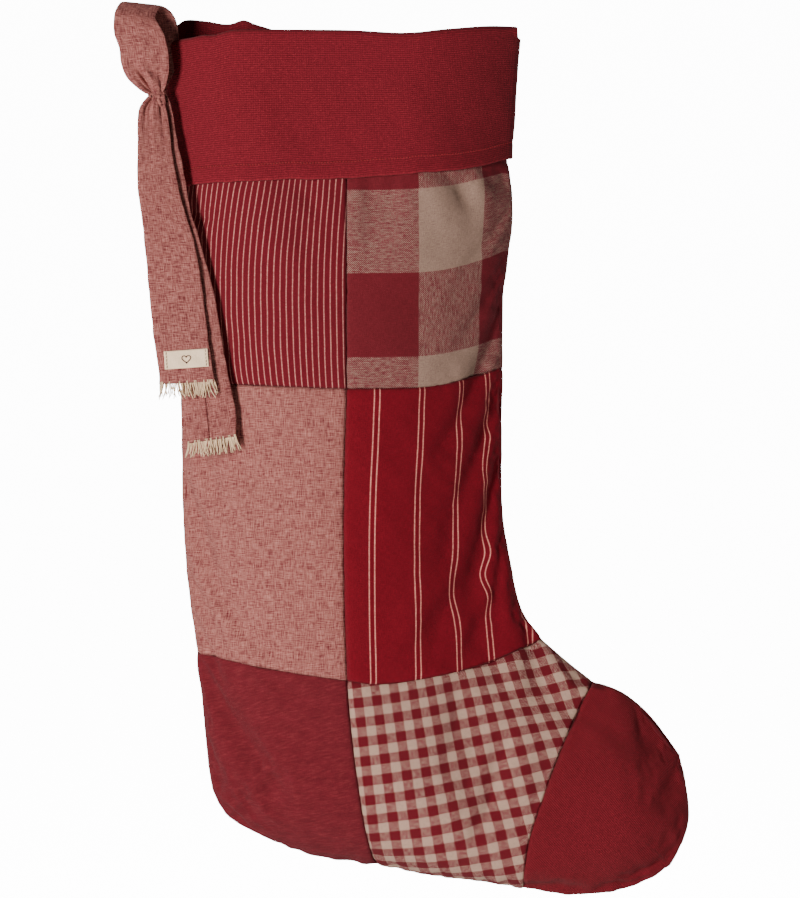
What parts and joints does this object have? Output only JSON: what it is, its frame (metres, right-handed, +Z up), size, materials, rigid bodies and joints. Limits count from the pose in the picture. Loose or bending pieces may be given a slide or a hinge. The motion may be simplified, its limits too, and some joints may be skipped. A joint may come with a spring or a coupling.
{
  "type": "hanging stocking",
  "caption": "Patchwork fabric stocking with a turned-down cuff, a lining, and a gathered linen strip that makes a hanging loop and two fringed tails with a blank sewn label.",
  "frame": {"origin": "the point inside the top of the hanging loop that rests on a hook", "axes": "+Z up the leg, +X from the leg towards the toe, +Y from the patchwork front to the plain back"},
  "size_m": [0.4043, 0.0969, 0.6247],
  "materials": {
    "pinstripe_cotton": "dark red cotton with thin cream stripes",
    "big_check_cotton": "red and cream check in wide bands",
    "chambray_linen": "red and cream chambray, plain weave",
    "double_stripe_cotton": "saturated red cotton with pairs of cream lines",
    "slub_linen": "dark red linen with horizontal slubs",
    "gingham_cotton": "small red and beige gingham check",
    "toe_twill": "dark red cotton twill",
    "back_twill": "dark red cotton twill",
    "lining_cotton": "dark red plain cotton",
    "cuff_twill": "red cotton twill, doubled",
    "hem_thread": "red sewing thread",
    "seam_thread": "dark red sewing thread",
    "strip_linen": "red and cream chambray linen, flattened tube",
    "fringe_thread": "loose cream and tan linen threads",
    "label_tape": "cream woven tape",
    "label_thread": "tan sewing thread",
    "motif_thread": "dark woven motif"
  },
  "bodies": {
    "stocking": {"pinstripe_patch": "pinstripe_cotton", "big_check_patch": "big_check_cotton", "chambray_patch": "chambray_linen", "double_stripe_patch": "double_stripe_cotton", "heel_patch": "slub_linen", "gingham_patch": "gingham_cotton", "toe_patch": "toe_twill", "back_panel": "back_twill", "lining_front": "lining_cotton", "lining_back": "lining_cotton", "cuff_front": "cuff_twill", "cuff_back": "cuff_twill", "cuff_hem_thread": "hem_thread", "side_seam_thread": "seam_thread", "centre_seam_thread": "seam_thread", "upper_seam_thread": "seam_thread", "lower_seam_thread": "seam_thread", "toe_seam_thread": "seam_thread", "gather_wrap": "strip_linen", "anchor_thread": "hem_thread"},
    "loop": {"hanging_loop": "strip_linen"},
    "front_tail": {"front_tail": "strip_linen", "front_tail_fringe": "fringe_thread", "label": "label_tape", "label_stitches": "label_thread", "label_motif": "motif_thread"},
    "rear_tail": {"rear_tail": "strip_linen", "rear_tail_fringe": "fringe_thread", "rear_tail_seam": "seam_thread"}
  },
  "joints": [
    {"name": "loop_tilt", "type": "hinge", "parent": "stocking", "child": "loop", "pos_m": [0.00756, 0, -0.06154], "axis": [0, 1, 0], "range_deg": [-50, 3], "stiffness_Nm_per_rad": 0.02},
    {"name": "front_tail_swing", "type": "hinge", "parent": "stocking", "child": "front_tail", "pos_m": [0.00756, 0, -0.06154], "axis": [0, 1, 0], "range_deg": [0, 45]},
    {"name": "rear_tail_swing", "type": "hinge", "parent": "stocking", "child": "rear_tail", "pos_m": [0.00756, 0, -0.06154], "axis": [0, 1, 0], "range_deg": [0, 45]}
  ]
}
